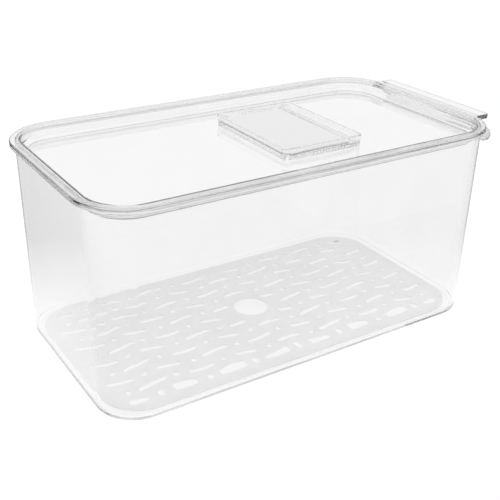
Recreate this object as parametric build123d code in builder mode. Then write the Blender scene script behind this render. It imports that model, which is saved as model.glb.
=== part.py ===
"""A clear produce keeper for a fridge shelf.

A deep clear tub with a hooked pull along one end holds a perforated strainer tray just above
its floor. A clear recessed lid drops into the mouth of the tub. A vent cap stands on the lid
over a grille and carries a grey filter pad. The cap ends level with the step inside the lid's
rim, where the base of another keeper stands.

Lengths are in millimetres. X runs along the tub with the pull at +X, and +Z is up. The origin
is the middle of the tub's base.
"""
from build123d import *
from math import atan, cos, degrees, hypot, pi, sin
import os

# Tub: the rim is the widest outline, and the body leans in towards the base
rim_length = 380.0
rim_width = 206.0
rim_corner = 45.0
rim_top = 175.5
rim_thick = 2.2
rim_overhang = 5.4
base_corner = 34.0
draft = 1.5
tub_wall = 2.2
tub_floor = 2.6
base_chamfer = 2.6
inner_chamfer = 2.4
edge_chamfer = 0.6

# Hooked pull along the +X end of the tub
pull_margin = 35.0
pull_wall = 2.2
pull_step = 0.2
pull_root = 1.0
pull_reach = 18.4
pull_shoulder = 13.4
pull_drop = 19.6
pull_lip = 8.4
pull_root_bend = 6.0
pull_shoulder_bend = 5.5
pull_lip_bend = 2.8

# Strainer tray, which lies loose on the floor, a little towards the front left
tray_gap_x = 6.7
tray_gap_y = 5.4
tray_lie = 0.35
tray_corner = 34.0
tray_rise = 4.6
tray_plate = 1.8
tray_skirt_inset = 3.5
tray_skirt_wall = 1.8
tray_edge_chamfer = 0.5
finger_hole = 31.0
finger_margin = 2.2
finger_land = 8.0

# Perforation of the tray: dashes and dots take turns along wavy rows
side_columns = 7
side_rows = 5
column_margin = 20.3
row_margin = 14.3
wave_height = 2.5
wave_columns = 2.668
dash_wide = 4.6
dash_half = 11.5
dash_stretch = 1.8
corner_dash_half = 7.5
corner_dash_shift = 3.0
dot_size = 5.2
front_row_margin = 10.7
front_row_deep = 8.2
slot_chamfer = 1.4
dot_sides = 8

# Lid
lid_flange = 2.5
lid_band = 5.0
lid_band_step = 1.0
lid_gap = 0.7
lid_wall = 1.6
lid_depth = 10.5
lid_panel = 2.0
lid_draft = 0.6
lid_inner_chamfer = 3.6
tab_margin = 36.0
tab_reach = 16.0
tab_bar = 11.0
tab_thick = 4.0
tab_corner = 5.0
tab_root_round = 3.0

# Vent cap and its filter pad, on the lid
vent_x = 30.8
vent_length = 79.5
vent_width = 109.0
vent_corner = 6.0
vent_flare = 0.7
vent_wall = 2.0
vent_well = 4.2
vent_floor = 1.2
vent_edge_chamfer = 0.5
pad_thick = 1.6
pad_gap = 0.4
pad_finger_gap = 10.5
pad_corner = 2.0
collar_gap = 0.3
collar_wall = 1.4
collar_rise = 2.2
grip_x = 35.5
grip_ribs = 11
grip_pitch = 3.1
grip_deep = 0.9
grip_sides = 6
grip_low = 1.2
grip_high = 6.6
slot_count = 7
slot_end = 7.6
slot_wide = 3.4
slot_margin = 12.0

# Places that follow from the sizes above
rim_end = rim_length / 2
pull_width = rim_width - 2 * pull_margin
tab_width = rim_width - 2 * tab_margin
rim_under = rim_top - rim_thick
lid_top = rim_top + lid_flange
panel_top = lid_top - lid_depth
panel_under = panel_top - lid_panel
tray_top = tub_floor + tray_rise
tray_under = tray_top - tray_plate
plug_height = rim_top - panel_under
vent_height = lid_depth - lid_band_step
pad_under = vent_height - vent_well - pad_thick
tub_lean = degrees(atan(draft / rim_under))
lid_lean = degrees(atan(lid_draft / plug_height))
vent_lean = degrees(atan(vent_flare / vent_height))


def body_outline(height, wall):
    """Length, width and corner radius of the tub's body at a height, less a wall."""
    lean = draft * height / rim_under
    inset = rim_overhang + draft - lean + wall
    return rim_length - 2 * inset, rim_width - 2 * inset, base_corner + lean - wall


def vent_outline(rise, wall):
    """Length, width and corner radius of the vent cap at a height over the panel, less a wall."""
    inset = vent_flare * (1 - rise / vent_height) + wall
    return vent_length - 2 * inset, vent_width - 2 * inset, vent_corner - inset


def moved_in(outline, inset):
    """An outline moved in by the same distance all round."""
    return outline[0] - 2 * inset, outline[1] - 2 * inset, outline[2] - inset


# Clear tub, with its rim and the hooked pull in one moulding
with BuildPart() as tub:
    with BuildSketch(Plane.XY):
        RectangleRounded(*body_outline(0, 0))
    extrude(amount=rim_under, taper=-tub_lean)
    chamfer(tub.faces().sort_by(Axis.Z)[0].edges(), base_chamfer)
    with BuildSketch(Plane.XY.offset(rim_under)):
        RectangleRounded(rim_length, rim_width, rim_corner)
    extrude(amount=rim_thick)
    chamfer(tub.faces().sort_by(Axis.Z)[-1].edges(), edge_chamfer)
    # The pull starts inside the rim, slopes out and curls back under the fingers
    pull_z = rim_top - pull_step - pull_wall / 2
    with BuildSketch(Plane.XZ):
        with BuildLine():
            FilletPolyline(
                (rim_end - rim_overhang / 2, pull_z),
                (rim_end + pull_root, pull_z),
                (rim_end + pull_reach, pull_z - pull_shoulder),
                (rim_end + pull_reach, pull_z - pull_drop),
                (rim_end + pull_reach - pull_lip, pull_z - pull_drop),
                radius=[pull_root_bend, pull_shoulder_bend, pull_lip_bend],
            )
        trace(line_width=pull_wall)
    extrude(amount=pull_width / 2, both=True)
    with BuildSketch(Plane.XY.offset(tub_floor)):
        RectangleRounded(*body_outline(tub_floor, tub_wall))
    extrude(amount=rim_top - tub_floor, taper=-tub_lean, mode=Mode.SUBTRACT)
    floor_face = tub.faces().filter_by(Plane.XY).group_by(Axis.Z)[1]
    chamfer(floor_face.edges(), inner_chamfer)
tub.part.label = "tub"


# The tray's outline, and the pattern's pitches across it
tray_outline = body_outline(tray_top, tub_wall)
tray_length = tray_outline[0] - 2 * tray_gap_x
tray_width = tray_outline[1] - 2 * tray_gap_y
column_pitch = (tray_length / 2 - column_margin) / side_columns
row_pitch = (tray_width / 2 - row_margin) / side_rows
wave_length = wave_columns * column_pitch


def wave(x):
    """Height of a wavy row over its middle line, with a crest at the middle column."""
    return wave_height * cos(2 * pi * x / wave_length)


def wave_edge(low, high, base):
    """An edge along the wave between two places, with one bend in the middle."""
    places = (low, (low + high) / 2, high)
    return Polyline([(x, base + wave(x)) for x in places])


def dash_slot(low, high, base):
    """A slot that follows the wave along both its edges."""
    with BuildSketch() as slot:
        with BuildLine():
            near = wave_edge(low, high, base - dash_wide / 2)
            far = wave_edge(low, high, base + dash_wide / 2)
            Line(near @ 0, far @ 0)
            Line(near @ 1, far @ 1)
        make_face()
        ends = slot.vertices().group_by(Axis.X)
        chamfer(ends[0] + ends[-1], slot_chamfer)
    return slot.sketch


def front_slot(low, high, base):
    """A slot of the front row: its near edge is straight and its far edge is the wave."""
    with BuildSketch() as slot:
        with BuildLine():
            far = wave_edge(low, high, base + front_row_deep)
            Polyline(far @ 1, (high, base), (low, base), far @ 0)
        make_face()
        ends = slot.vertices().group_by(Axis.X)
        chamfer(ends[0] + ends[-1], slot_chamfer)
    return slot.sketch


# The pattern's openings, each in its column and row, without those the finger hole takes
front_base = front_row_margin - tray_width / 2
finger_clear = finger_hole / 2 + finger_margin
dots_clear = finger_hole / 2 + finger_land
openings = []
for column in range(-side_columns, side_columns + 1):
    x = column * column_pitch
    climb = -sin(2 * pi * x / wave_length)
    for row in range(-side_rows, side_rows + 1):
        y = row * row_pitch
        dash = (column + row) % 2 == 0
        half = dash_half + dash_stretch * climb if dash else dot_size / 2
        low = x - half
        high = x + half
        at_end = abs(column) == side_columns
        if dash and at_end and abs(row) == side_rows:
            centre = x - corner_dash_shift if x > 0 else x + corner_dash_shift
            low = centre - corner_dash_half
            high = centre + corner_dash_half
        elif dash and at_end:
            low = x - dash_half
            high = x + dash_half
        elif dash and abs(row) == 1 and abs(x) < finger_clear + dash_half:
            low = max(low, finger_clear) if x > 0 else low
            high = min(high, -finger_clear) if x < 0 else high
        if row == 0 and abs(x) - half < finger_clear:
            continue
        if not dash and hypot(x, y + wave(x) - wave(0)) < dots_clear:
            continue
        if row == -side_rows:
            openings.append(front_slot(low, high, front_base))
        elif dash:
            openings.append(dash_slot(low, high, y))
        else:
            dot = RegularPolygon(dot_size / 2, dot_sides, mode=Mode.PRIVATE)
            openings.append(Pos(x, y + wave(x)) * dot)

# Strainer tray: a perforated plate on a skirt that stands on the tub's floor
lie_x = -tray_lie * tray_gap_x
lie_y = -tray_lie * tray_gap_y
tray_size = (tray_length, tray_width, tray_corner)
with BuildPart() as strainer_tray:
    with BuildSketch(Plane.XY.offset(tray_under).move(Location((lie_x, lie_y, 0)))):
        RectangleRounded(*tray_size)
    extrude(amount=tray_plate)
    chamfer(strainer_tray.faces().sort_by(Axis.Z)[-1].edges(), tray_edge_chamfer)
    with BuildSketch(Plane.XY.offset(tub_floor).move(Location((lie_x, lie_y, 0)))):
        RectangleRounded(*moved_in(tray_size, tray_skirt_inset))
        RectangleRounded(
            *moved_in(tray_size, tray_skirt_inset + tray_skirt_wall), mode=Mode.SUBTRACT
        )
    extrude(until=Until.NEXT)
    with BuildSketch(Plane.XY.offset(tray_top).move(Location((lie_x, lie_y, 0)))):
        with Locations((0, wave(0))):
            Circle(finger_hole / 2)
        add(openings)
    extrude(amount=-tray_plate, mode=Mode.SUBTRACT)
strainer_tray.part.label = "strainer_tray"

# The pad lies in the cap's well and leaves a finger gap at the +X end
well = vent_outline(pad_under, vent_wall)
pad_length = well[0] - 2 * pad_gap - pad_finger_gap
pad_width = well[1] - 2 * pad_gap
pad_x = vent_x - pad_finger_gap / 2
slot_pitch = (pad_length - 2 * slot_end) / (slot_count - 1)

# Clear lid: a flange on the tub's rim, a pull tab and a recessed panel
with BuildPart() as lid:
    with BuildSketch(Plane.XY.offset(rim_top)) as lid_outline:
        RectangleRounded(rim_length, rim_width, rim_corner)
        with Locations((rim_end + tab_reach, 0)):
            RectangleRounded(
                2 * tab_reach, tab_width, tab_corner, align=(Align.MAX, Align.CENTER)
            )
        sides = lid_outline.vertices().filter_by(
            lambda corner: abs(abs(corner.Y) - tab_width / 2) < 0.01
        )
        fillet(sides.sort_by(Axis.X)[:2], tab_root_round)
    extrude(amount=lid_flange)
    with BuildSketch(Plane.XY.offset(lid_top - tab_thick)) as tab_outline:
        with Locations((rim_end + tab_reach, 0)):
            Rectangle(tab_bar, tab_width, align=(Align.MAX, Align.CENTER))
        fillet(tab_outline.vertices().group_by(Axis.X)[-1], tab_corner)
    extrude(amount=tab_thick - lid_flange)
    chamfer(lid.faces().sort_by(Axis.Z)[-1].edges(), edge_chamfer)
    # The plug drops into the mouth of the tub
    mouth = moved_in(body_outline(rim_top, tub_wall), lid_gap)
    with BuildSketch(Plane.XY.offset(panel_under)):
        RectangleRounded(*moved_in(mouth, lid_draft))
    extrude(amount=plug_height, taper=-lid_lean)
    plug_face = lid.faces().sort_by(Axis.Z)[0]
    chamfer(plug_face.edges(), lid_inner_chamfer)
    # The recess, and the step on the rim where another keeper's base stands
    with BuildSketch(Plane.XY.offset(panel_top)):
        RectangleRounded(*moved_in(mouth, lid_wall + lid_draft))
    extrude(amount=lid_depth, taper=-lid_lean, mode=Mode.SUBTRACT)
    panel_face = lid.faces().filter_by(Plane.XY).group_by(Axis.Z)[1]
    chamfer(panel_face.edges(), lid_inner_chamfer)
    with BuildSketch(Plane.XY.offset(lid_top)):
        RectangleRounded(*moved_in((rim_length, rim_width, rim_corner), lid_band))
    extrude(amount=-lid_band_step, mode=Mode.SUBTRACT)
    # A collar keeps the cap in place, and the air passes through slots inside it
    with BuildSketch(Plane.XY.offset(panel_top)):
        with Locations((vent_x, 0)):
            RectangleRounded(*vent_outline(0, vent_wall + collar_gap))
            RectangleRounded(
                *vent_outline(0, vent_wall + collar_gap + collar_wall), mode=Mode.SUBTRACT
            )
    extrude(amount=collar_rise)
    with BuildSketch(Plane.XY.offset(panel_top)):
        with Locations((pad_x, 0)):
            with GridLocations(slot_pitch, 0, slot_count, 1):
                Rectangle(slot_wide, vent_width - 2 * slot_margin)
    extrude(amount=-lid_panel, mode=Mode.SUBTRACT)
lid.part.label = "lid"

# Vent cap: a flared frame with a slotted floor under the pad and grip ribs front and back
with BuildPart() as vent_cap:
    with BuildSketch(Plane.XY.offset(panel_top)):
        with Locations((vent_x, 0)):
            RectangleRounded(*vent_outline(0, 0))
    extrude(amount=vent_height, taper=-vent_lean)
    chamfer(vent_cap.faces().sort_by(Axis.Z)[-1].edges(), vent_edge_chamfer)
    grip_rise = (grip_low + grip_high) / 2
    grip_y = vent_outline(grip_rise, 0)[1]
    with BuildSketch(Plane.XY.offset(panel_top + grip_low)):
        with Locations((grip_x, 0)):
            with GridLocations(grip_pitch, grip_y, grip_ribs, 2):
                RegularPolygon(grip_deep, grip_sides)
    extrude(amount=grip_high - grip_low)
    with BuildSketch(Plane.XY.offset(panel_top + pad_under)):
        with Locations((vent_x, 0)):
            RectangleRounded(*vent_outline(pad_under, vent_wall))
    extrude(amount=vent_height - pad_under, taper=-vent_lean, mode=Mode.SUBTRACT)
    with BuildSketch(Plane.XY.offset(panel_top)):
        with Locations((vent_x, 0)):
            RectangleRounded(*vent_outline(0, vent_wall))
    extrude(amount=pad_under - vent_floor, mode=Mode.SUBTRACT)
    with BuildSketch(Plane.XY.offset(panel_top + pad_under)):
        with Locations((pad_x, 0)):
            with GridLocations(slot_pitch, 0, slot_count, 1):
                Rectangle(slot_wide, vent_width - 2 * slot_margin)
    extrude(amount=-vent_floor, mode=Mode.SUBTRACT)
vent_cap.part.label = "vent_cap"

# Grey filter pad
with BuildPart() as filter_pad:
    with BuildSketch(Plane.XY.offset(panel_top + pad_under)) as pad_outline:
        with Locations((pad_x, 0)):
            Rectangle(pad_length, pad_width)
        fillet(pad_outline.vertices().group_by(Axis.X)[0], well[2])
        fillet(pad_outline.vertices().group_by(Axis.X)[-1], pad_corner)
    extrude(amount=pad_thick)
filter_pad.part.label = "filter_pad"

os.makedirs("parts", exist_ok=True)
export_step(tub.part, "parts/tub.step")
export_step(strainer_tray.part, "parts/strainer_tray.step")
export_step(lid.part, "parts/lid.step")
export_step(vent_cap.part, "parts/vent_cap.step")
export_step(filter_pad.part, "parts/filter_pad.step")
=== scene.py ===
"""A clear produce keeper on a pale studio floor.

Everything is moulded plastic, so the look is glass-like: thin clear walls that show their edges,
a frosted strainer tray seen through them, and a grey felt pad in the open vent cap.
"""

import bmesh
import bpy
from math import cos, pi, radians, sin
from mathutils import Euler, Matrix, Vector


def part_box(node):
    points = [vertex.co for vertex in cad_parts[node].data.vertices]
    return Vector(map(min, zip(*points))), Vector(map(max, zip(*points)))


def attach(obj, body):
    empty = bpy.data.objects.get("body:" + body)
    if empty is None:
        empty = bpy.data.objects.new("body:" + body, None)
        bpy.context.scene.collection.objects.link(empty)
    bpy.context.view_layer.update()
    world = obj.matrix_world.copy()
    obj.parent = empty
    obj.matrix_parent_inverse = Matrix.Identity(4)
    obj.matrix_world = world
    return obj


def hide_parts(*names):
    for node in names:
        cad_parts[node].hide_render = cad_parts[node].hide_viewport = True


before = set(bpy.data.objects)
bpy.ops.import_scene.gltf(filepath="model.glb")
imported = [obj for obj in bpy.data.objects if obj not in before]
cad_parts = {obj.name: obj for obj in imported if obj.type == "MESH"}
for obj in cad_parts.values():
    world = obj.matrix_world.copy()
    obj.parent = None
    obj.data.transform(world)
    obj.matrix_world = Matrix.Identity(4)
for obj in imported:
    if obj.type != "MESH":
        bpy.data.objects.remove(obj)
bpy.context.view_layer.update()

MM = 0.001

# Camera, from the photograph's perspective: its place in metres, its angles in degrees, and its
# lens in millimetres
CAMERA_PLACE = (-0.37497, -0.56418, 0.40053)
CAMERA_TURN = -33.30
CAMERA_DOWN = 26.41
CAMERA_ROLL = 1.33
FOCAL_LENGTH = 60.73
SENSOR_WIDTH = 36
NEAREST_SEEN = 0.01

# Room, as gloss and clear plastic see it: how bright it is at each height of the view, from 0
# for level to 1 for straight up. All else gets one soft light from all round
ROOM = (
    (0.0, 0.08), (0.1, 0.15), (0.25, 0.93), (0.62, 0.95), (0.73, 0.5), (0.85, 0.5), (0.94, 0.95),
)
SOFT_LIGHT = 1.15

# Floor, in metres: how far it reaches, how far it lies under the tub, how it glows, and the share
# of the glow that the camera sees. Where a wall mirrors it, the glow fades to the far tone over
# the fade's length, which starts round the foot, given by its half length and half width
FLOOR_REACH = 8.0
FLOOR_DROP = 0.05 * MM
FLOOR_GLOW = 1.03
GLOW_SHARE = 0.8
FOOT = (0.19, 0.1, 0)
FADE_LENGTH = 0.16
FAR_TONE = 0.15

# Heights at which the mouldings rest on each other, those of the lid's top and the top of the
# tray's plate, its thickness, and the film of air under each resting face, without which clear
# faces that touch show as dark lines
FLOOR_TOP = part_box("strainer_tray")[0].z
RIM_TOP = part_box("tub")[1].z
PANEL_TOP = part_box("vent_cap")[0].z
PAD_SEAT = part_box("filter_pad")[0].z
LID_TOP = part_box("lid")[1].z
PLATE_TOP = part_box("strainer_tray")[1].z
PLATE_THICK = 1.8 * MM
AIR_FILM = 0.06 * MM

# Chamfers that the construction has for rounded corners: the height of each, and the radius
# that rounds both of its edges
FOOT_CHAMFER, FOOT_ROUND = 2.6 * MM, 1.2 * MM
FLOOR_CHAMFER, FLOOR_ROUND = 2.4 * MM, 1.1 * MM
PANEL_CHAMFER, PANEL_ROUND = 3.6 * MM, 1.7 * MM
TOP_CHAMFER, TOP_ROUND = 0.6 * MM, 0.36 * MM
CHAMFER_STEPS = 3

# Other edges are rounded too, but not beside a face that is narrower than these, where two
# roundings would meet, as on the cap's grip ribs
EDGE_ROUND = 0.3 * MM
EDGE_STEPS = 2
TUB_NARROW = 0.9 * MM
LID_NARROW = 0.5 * MM
CAP_NARROW = 1.4 * MM

# Holes of the tray: how far their lips round off into the plate, in how many steps, how often
# the corners of their outlines are cut, and which of the tray's materials goes where: the plate's,
# or the painted glow of the lips and underside, a brighter copy of the plate's polypropylene
LIP_REACH = 1.2 * MM
LIP_STEPS = 4
CORNER_CUTS = 2
PLATE, LIPS = 0, 1

# How meshes are read: what counts as one point, as near, as one height, as a flat joint and as a
# sharp edge, and how much a face looks up or down, from 0 for a wall to 1 for a floor
MERGE = 0.004 * MM
NEAR = 0.05 * MM
HEIGHT_STEP = 0.1 * MM
FLAT_ANGLE = radians(0.3)
EDGE_ANGLE = radians(25)
WALL_MOST = 0.1
CHAMFER_LEAST, CHAMFER_MOST = 0.5, 0.87
LEVEL_LEAST = 0.9

# How often light may turn inside clear walls, and pass straight through them
WALL_BOUNCES = 256
WALL_PASSES = 24


def linear(hex_colour):
    """An sRGB hex colour as linear red, green, blue and alpha."""
    parts = [int(hex_colour[i:i + 2], 16) / 255 for i in (1, 3, 5)]
    return [c / 12.92 if c <= 0.04045 else ((c + 0.055) / 1.055) ** 2.4 for c in parts] + [1.0]


def add_node(tree, kind, sockets=None, links=None, **settings):
    """Adds a node with its settings, its sockets' own values and the links into it."""
    node = tree.nodes.new(kind)
    for name, value in settings.items():
        setattr(node, name, value)
    for name, value in (sockets or {}).items():
        node.inputs[name].default_value = value
    for name, output in (links or {}).items():
        tree.links.new(output, node.inputs[name])
    return node


def new_material(name):
    """An empty node material and its tree."""
    material = bpy.data.materials.new(name)
    material.use_nodes = True
    material.node_tree.nodes.clear()
    return material, material.node_tree


def moulded_grain(tree, size_mm, detail):
    """Noise in the object's own space, with a grain of that size."""
    place = add_node(tree, "ShaderNodeTexCoord")
    return add_node(
        tree, "ShaderNodeTexNoise", {"Scale": 1 / (size_mm * MM), "Detail": detail},
        {"Vector": place.outputs["Object"]},
    )


def let_light_through(tree, plastic, **inside):
    """Ends a material so that light for what lies behind passes straight through it."""
    path = add_node(tree, "ShaderNodeLightPath")
    passed = add_node(tree, "ShaderNodeBsdfTransparent")
    for ray in ("Is Shadow Ray", "Is Diffuse Ray"):
        plastic = add_node(
            tree, "ShaderNodeMixShader",
            links={0: path.outputs[ray], 1: plastic.outputs[0], 2: passed.outputs[0]},
        )
    add_node(tree, "ShaderNodeOutputMaterial", links={"Surface": plastic.outputs[0], **inside})


def clear_pet(name, thick, thin, depth_loss):
    """Injection-moulded clear PET: glassy and highly polished, so it shows mainly at its edges.

    Its grey is a little deeper where the melt has run thicker, and light that runs along inside
    an edge is lost, at the rate depth_loss for each metre, which draws the rim dark. Light for
    what is inside passes straight through, which keeps the contents as bright as they are under
    such thin walls.
    """
    material, tree = new_material(name)
    haze = moulded_grain(tree, size_mm=35, detail=1.0)
    melt = add_node(
        tree, "ShaderNodeMix", {"A": linear(thick), "B": linear(thin)},
        {"Factor": haze.outputs["Fac"]}, data_type="RGBA",
    )
    polish = add_node(
        tree, "ShaderNodeMapRange", {"To Max": 0.03}, {"Value": haze.outputs["Fac"]},
    )
    plastic = add_node(
        tree, "ShaderNodeBsdfPrincipled",
        {"IOR": 1.57, "Transmission Weight": 1.0},
        {"Base Color": melt.outputs["Result"], "Roughness": polish.outputs["Result"]},
    )
    bulk = add_node(
        tree, "ShaderNodeVolumeAbsorption", {"Color": linear("#000000"), "Density": depth_loss},
    )
    let_light_through(tree, plastic, Volume=bulk.outputs[0])
    return material


def frosted_polypropylene():
    """Natural polypropylene with a fine satin texture: milky, and it lets light through."""
    material, tree = new_material("frosted_polypropylene")
    satin = moulded_grain(tree, size_mm=0.9, detail=2.0)
    bump = add_node(
        tree, "ShaderNodeBump", {"Strength": 0.12, "Distance": 0.05 * MM},
        {"Height": satin.outputs["Fac"]},
    )
    cloud = moulded_grain(tree, size_mm=40, detail=2.0)
    milk = add_node(
        tree, "ShaderNodeMix", {"A": linear("#dedede"), "B": linear("#e6e6e6")},
        {"Factor": cloud.outputs["Fac"]}, data_type="RGBA",
    )
    plastic = add_node(
        tree, "ShaderNodeBsdfPrincipled",
        {"Roughness": 0.42, "IOR": 1.49, "Transmission Weight": 0.2},
        {"Base Color": milk.outputs["Result"], "Normal": bump.outputs["Normal"]},
    )
    let_light_through(tree, plastic)
    return material


def painted_glow_polypropylene():
    """Polypropylene at the tray's hole lips and underside, where light leaves the milky plate.

    Their colour is painted brighter than the plate's for it, a painted glow, which draws the
    pattern of slots and dots.
    """
    material, tree = new_material("painted_glow_polypropylene")
    flow = moulded_grain(tree, size_mm=12, detail=1.0)
    # Painted glow: a near-white colour, lighter than the plate's, stands in for the light that
    # leaves the plate here
    glow = add_node(
        tree, "ShaderNodeMix", {"A": linear("#fbfcfc"), "B": linear("#ffffff")},
        {"Factor": flow.outputs["Fac"]}, data_type="RGBA",
    )
    plastic = add_node(
        tree, "ShaderNodeBsdfPrincipled", {"Roughness": 0.35, "IOR": 1.49},
        {"Base Color": glow.outputs["Result"]},
    )
    let_light_through(tree, plastic)
    return material


def grey_felt():
    """Pressed filter felt: pale grey, matt, with short fibres."""
    material, tree = new_material("grey_filter_felt")
    fibre = moulded_grain(tree, size_mm=0.7, detail=4.0)
    shade = add_node(
        tree, "ShaderNodeMix", {"A": linear("#d4d4d4"), "B": linear("#e2e2e2")},
        {"Factor": fibre.outputs["Fac"]}, data_type="RGBA",
    )
    bump = add_node(
        tree, "ShaderNodeBump", {"Strength": 0.35, "Distance": 0.15 * MM},
        {"Height": fibre.outputs["Fac"]},
    )
    felt = add_node(
        tree, "ShaderNodeBsdfPrincipled", {"Roughness": 0.95, "Sheen Weight": 0.2},
        {"Base Color": shade.outputs["Result"], "Normal": bump.outputs["Normal"]},
    )
    add_node(tree, "ShaderNodeOutputMaterial", links={"Surface": felt.outputs["BSDF"]})
    return material


def welded(node):
    """A construction node's mesh, with its triangles joined to whole faces."""
    shape = bmesh.new()
    shape.from_mesh(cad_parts[node].data)
    bmesh.ops.remove_doubles(shape, verts=shape.verts, dist=MERGE)
    bmesh.ops.dissolve_limit(
        shape, angle_limit=FLAT_ANGLE, verts=shape.verts, edges=shape.edges,
        delimit={"NORMAL"},
    )
    return shape


def lift(shape, seat):
    """Gives a face that rests on another moulding, at the height seat, a film of air under it."""
    resting = [v for v in shape.verts if abs(v.co.z - seat) < MERGE]
    bmesh.ops.translate(shape, verts=resting, vec=(0, 0, AIR_FILM))


def round_between(shape, chosen, radius, steps):
    """Rounds the sharp edges whose two faces are chosen together."""
    edges = [
        e for e in shape.edges
        if len(e.link_faces) == 2 and chosen(*e.link_faces) and e.calc_face_angle(0) > EDGE_ANGLE
    ]
    bmesh.ops.bevel(
        shape, geom=edges, offset=radius, offset_type="OFFSET", segments=steps, profile=0.5,
        affect="EDGES", material=-1, clamp_overlap=False,
    )


def round_chamfer(shape, foot, height, radius):
    """Rounds both edges of the chamfers that rise from foot by height."""
    def slopes(face):
        heights = [v.co.z for v in face.verts]
        leans = CHAMFER_LEAST < abs(face.normal.z) < CHAMFER_MOST
        return leans and min(heights) > foot - NEAR and max(heights) < foot + height + NEAR

    def one_slopes(face, other):
        return slopes(face) != slopes(other)

    round_between(shape, one_slopes, radius, CHAMFER_STEPS)


def round_edges(shape, narrow):
    """Rounds every edge between faces that are broader than narrow, as a polished mould does."""
    def broad(face):
        return 2 * face.calc_area() > narrow * face.calc_perimeter()

    def both_broad(face, other):
        return broad(face) and broad(other)

    round_between(shape, both_broad, EDGE_ROUND, EDGE_STEPS)


def level(height):
    """A height in whole steps, so that equal heights can be told."""
    return round(height / HEIGHT_STEP)


def levels(part):
    """The heights, in whole steps, of the points of a face or an edge."""
    return {level(v.co.z) for v in part.verts}


def hole_outlines(walls, top):
    """The outlines of a plate's holes, each a ring of points, from the holes' upright walls."""
    following = {}
    for wall in walls:
        for loop in wall.loops:
            if levels(loop.edge) == {level(top)}:
                following[loop.vert] = loop.link_loop_next.vert
    outlines = []
    while following:
        here, there = following.popitem()
        ring = [here.co.xy]
        while there in following:
            ring.append(there.co.xy)
            there = following.pop(there)
        outlines.append(ring)
    return outlines


def smoothed(ring):
    """A ring of points with its corners cut a few times, which leaves it round."""
    for _ in range(CORNER_CUTS):
        pairs = list(zip(ring, ring[1:] + ring[:1]))
        ring = [p.lerp(q, share) for p, q in pairs for share in (0.25, 0.75)]
    return ring


def outward(ring):
    """The directions out of a ring, at each of its points."""
    turns = sum(p.cross(q) for p, q in zip(ring, ring[1:] + ring[:1]))
    side = 1 if turns > 0 else -1
    directions = []
    for before, after in zip(ring[-1:] + ring[:-1], ring[1:] + ring[:1]):
        along = (after - before).normalized() * side
        directions.append(Vector((along.y, -along.x)))
    return directions


def add_lip(shape, ring, under, top):
    """Adds a hole's wall, half a round that swells into the hole from the plate's two faces."""
    half = (top - under) / 2
    middle = (top + under) / 2
    directions = outward(ring)
    rows = []
    for step in range(LIP_STEPS + 1):
        turn = pi * step / LIP_STEPS
        out = LIP_REACH * (1 - sin(turn))
        height = middle + half * cos(turn)
        rows.append([
            shape.verts.new((*(p + d * out), height)) for p, d in zip(ring, directions)
        ])
    for upper, lower in zip(rows, rows[1:]):
        for i in range(len(ring)):
            lip = shape.faces.new((upper[i - 1], upper[i], lower[i], lower[i - 1]))
            # Each lip takes the painted glow material
            lip.material_index = LIPS


def round_holes(shape, under, top):
    """Gives each hole of a plate a smooth outline and a full rounded lip, as a mould leaves it."""
    sides = {level(under), level(top)}
    walls = [f for f in shape.faces if abs(f.normal.z) < WALL_MOST and levels(f) == sides]
    flats = [f for f in shape.faces if abs(f.normal.z) > LEVEL_LEAST and levels(f) <= sides]
    outlines = hole_outlines(walls, top)
    bmesh.ops.delete(shape, geom=walls + flats, context="FACES")
    for outline in outlines:
        add_lip(shape, smoothed(outline), under, top)
    # The underside takes the lips' painted glow, and the top takes the plate's own colour
    for height, tray_material in ((under, LIPS), (top, PLATE)):
        edges = [e for e in shape.edges if e.is_boundary and levels(e) == {level(height)}]
        filled = bmesh.ops.triangle_fill(shape, use_beauty=True, edges=edges)["geom"]
        for face in filled:
            if isinstance(face, bmesh.types.BMFace):
                face.material_index = tray_material
    bmesh.ops.recalc_face_normals(shape, faces=shape.faces)


def shade_smooth(mesh):
    """Smooth shading that keeps broad faces flat: each corner leans to its largest faces."""
    leaning = [Vector() for _ in mesh.vertices]
    for face in mesh.polygons:
        face.use_smooth = True
        for corner in face.vertices:
            leaning[corner] += face.normal * face.area
    mesh.normals_split_custom_set_from_vertices([n.normalized() for n in leaning])


def moulding(shape, node, name, slot, *materials):
    """Makes the shape a piece that is shown in place of a construction node, on its body."""
    mesh = bpy.data.meshes.new(name)
    shape.to_mesh(mesh)
    shape.free()
    if "custom_normal" in mesh.attributes:
        mesh.attributes.remove(mesh.attributes["custom_normal"])
    shade_smooth(mesh)
    mesh.materials.clear()
    for material in materials:
        mesh.materials.append(material)
    piece = bpy.data.objects.new(name, mesh)
    bpy.context.scene.collection.objects.link(piece)
    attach(piece, node)
    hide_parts(node)


def clear_tub():
    """The deep tub with its rim and its pull, and with a round foot and round floor corners."""
    shape = welded("tub")
    round_chamfer(shape, 0, FOOT_CHAMFER, FOOT_ROUND)
    round_chamfer(shape, FLOOR_TOP, FLOOR_CHAMFER, FLOOR_ROUND)
    round_edges(shape, TUB_NARROW)
    plastic = clear_pet("clear_pet_tub", "#f9f9f9", "#fcfcfc", depth_loss=0.2)
    moulding(shape, "tub", "clear_tub", "clear_tub", plastic)


def clear_lid():
    """The recessed lid with its tab, and with rounds beside its panel and along its top edge."""
    shape = welded("lid")
    lift(shape, RIM_TOP)
    round_chamfer(shape, PANEL_TOP, PANEL_CHAMFER, PANEL_ROUND)
    round_chamfer(shape, LID_TOP - TOP_CHAMFER, TOP_CHAMFER, TOP_ROUND)
    round_edges(shape, LID_NARROW)
    plastic = clear_pet("clear_pet_lid", "#fbfbfb", "#fdfdfd", depth_loss=6.0)
    moulding(shape, "lid", "clear_lid", "clear_lid", plastic)


def clear_vent_cap():
    """The cap's frame, with the slots under its pad and its grip ribs."""
    shape = welded("vent_cap")
    lift(shape, PANEL_TOP)
    round_edges(shape, CAP_NARROW)
    plastic = clear_pet("clear_pet_cap", "#fbfbfb", "#fdfdfd", depth_loss=2.5)
    moulding(shape, "vent_cap", "clear_vent_cap", "clear_lid", plastic)


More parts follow.
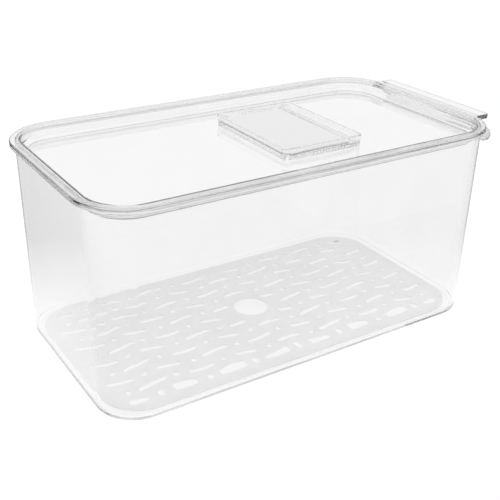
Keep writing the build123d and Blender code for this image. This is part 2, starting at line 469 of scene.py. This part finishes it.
def frosted_tray():
    """The strainer tray, with a rounded lip round each slot, dot and the finger hole."""
    shape = welded("strainer_tray")
    lift(shape, FLOOR_TOP)
    round_holes(shape, PLATE_TOP - PLATE_THICK, PLATE_TOP)
    moulding(
        shape, "strainer_tray", "frosted_tray", "frosted_tray",
        # The second material is the painted glow of the lips and underside
        frosted_polypropylene(), painted_glow_polypropylene(),
    )


def felt_pad():
    """The filter pad that lies in the cap's well."""
    shape = welded("filter_pad")
    lift(shape, PAD_SEAT)
    moulding(shape, "filter_pad", "felt_pad", "grey_pad", grey_felt())


def seen_in_plastic(tree, path):
    """1 for what is seen in gloss or through clear plastic, by a Light Path node, or else 0."""
    return add_node(
        tree, "ShaderNodeMath", operation="MAXIMUM",
        links={0: path.outputs["Is Transmission Ray"], 1: path.outputs["Is Glossy Ray"]},
    )


def white_sweep():
    """White studio paper that glows where it is seen, and keeps a faint shadow of the object.

    Walls mirror it, so for what they mirror it fades with the distance from the object, as a
    lit table does.
    """
    material, tree = new_material("white_sweep")
    place = add_node(tree, "ShaderNodeTexCoord")
    beside = add_node(
        tree, "ShaderNodeVectorMath", links={0: place.outputs["Object"]}, operation="ABSOLUTE",
    )
    beside = add_node(
        tree, "ShaderNodeVectorMath", {1: FOOT}, {0: beside.outputs[0]}, operation="SUBTRACT",
    )
    beside = add_node(
        tree, "ShaderNodeVectorMath", {1: (0, 0, 0)}, {0: beside.outputs[0]},
        operation="MAXIMUM",
    )
    distance = add_node(
        tree, "ShaderNodeVectorMath", links={0: beside.outputs[0]}, operation="LENGTH",
    )
    fade = add_node(
        tree, "ShaderNodeMapRange", {"From Max": FADE_LENGTH, "To Min": 1.0, "To Max": FAR_TONE},
        {"Value": distance.outputs["Value"]},
    )
    path = add_node(tree, "ShaderNodeLightPath")
    tone = add_node(
        tree, "ShaderNodeMix", {"A": linear("#ffffff")},
        {"Factor": path.outputs["Is Reflection Ray"], "B": fade.outputs["Result"]},
        data_type="RGBA",
    )
    glow = add_node(
        tree, "ShaderNodeEmission", {"Strength": FLOOR_GLOW}, {"Color": tone.outputs["Result"]},
    )
    in_view = add_node(
        tree, "ShaderNodeMapRange", {"To Max": GLOW_SHARE},
        {"Value": path.outputs["Is Camera Ray"]},
    )
    share = add_node(
        tree, "ShaderNodeMath", operation="MAXIMUM",
        links={0: in_view.outputs[0], 1: seen_in_plastic(tree, path).outputs[0]},
    )
    paper = add_node(tree, "ShaderNodeBsdfDiffuse", {"Color": linear("#f6f6f6")})
    surface = add_node(
        tree, "ShaderNodeMixShader",
        links={0: share.outputs[0], 1: paper.outputs[0], 2: glow.outputs[0]},
    )
    add_node(tree, "ShaderNodeOutputMaterial", links={"Surface": surface.outputs[0]})
    # The glow is only seen, so it isn't a lamp for what stands on the floor
    material.cycles.emission_sampling = "NONE"
    return material


def studio_floor():
    """A wide floor of white paper, just under the tub's foot."""
    shape = bmesh.new()
    bmesh.ops.create_grid(shape, x_segments=1, y_segments=1, size=FLOOR_REACH)
    mesh = bpy.data.meshes.new("studio_floor")
    shape.to_mesh(mesh)
    shape.free()
    mesh.materials.append(white_sweep())
    floor = bpy.data.objects.new("studio_floor", mesh)
    bpy.context.scene.collection.objects.link(floor)
    floor.location = (0, 0, -FLOOR_DROP)


def studio_light():
    """Soft white light all round, but gloss and clear plastic see the room with its dark parts."""
    world = bpy.data.worlds.new("studio")
    bpy.context.scene.world = world
    world.use_nodes = True
    tree = world.node_tree
    tree.nodes.clear()
    place = add_node(tree, "ShaderNodeTexCoord")
    height = add_node(
        tree, "ShaderNodeSeparateXYZ", links={"Vector": place.outputs["Generated"]},
    )
    room = add_node(tree, "ShaderNodeValToRGB", links={"Fac": height.outputs["Z"]})
    room.color_ramp.interpolation = "EASE"
    stops = room.color_ramp.elements
    stops.remove(stops[1])
    for stop, (position, tone) in enumerate(ROOM):
        if stop:
            stops.new(position)
        stops[stop].position = position
        stops[stop].color = (tone, tone, tone, 1)
    path = add_node(tree, "ShaderNodeLightPath")
    colour = add_node(
        tree, "ShaderNodeMix", {"A": (SOFT_LIGHT, SOFT_LIGHT, SOFT_LIGHT, 1)},
        {"Factor": seen_in_plastic(tree, path).outputs[0], "B": room.outputs["Color"]},
        data_type="RGBA",
    )
    light = add_node(tree, "ShaderNodeBackground", links={"Color": colour.outputs["Result"]})
    add_node(tree, "ShaderNodeOutputWorld", links={"Surface": light.outputs[0]})


def photograph_camera():
    """The camera, at the photograph's place, angle and lens."""
    lens = bpy.data.cameras.new("camera")
    lens.lens = FOCAL_LENGTH
    lens.sensor_width = SENSOR_WIDTH
    lens.clip_start = NEAREST_SEEN
    camera = bpy.data.objects.new("camera", lens)
    bpy.context.scene.collection.objects.link(camera)
    aim = Euler((radians(90 - CAMERA_DOWN), 0, radians(CAMERA_TURN))).to_matrix()
    turn = (aim @ Matrix.Rotation(radians(CAMERA_ROLL), 3, "Z")).to_4x4()
    camera.matrix_world = Matrix.Translation(CAMERA_PLACE) @ turn
    bpy.context.scene.camera = camera


def let_light_run():
    """Lets light run on inside clear walls until it leaves them, which keeps their edges clear."""
    cycles = bpy.context.scene.cycles
    for limit in ("max_bounces", "transmission_bounces", "glossy_bounces"):
        setattr(cycles, limit, WALL_BOUNCES)
    cycles.transparent_max_bounces = WALL_PASSES


clear_tub()
clear_lid()
clear_vent_cap()
frosted_tray()
felt_pad()
studio_floor()
studio_light()
photograph_camera()
let_light_run()
bpy.context.scene.view_settings.view_transform = "Standard"
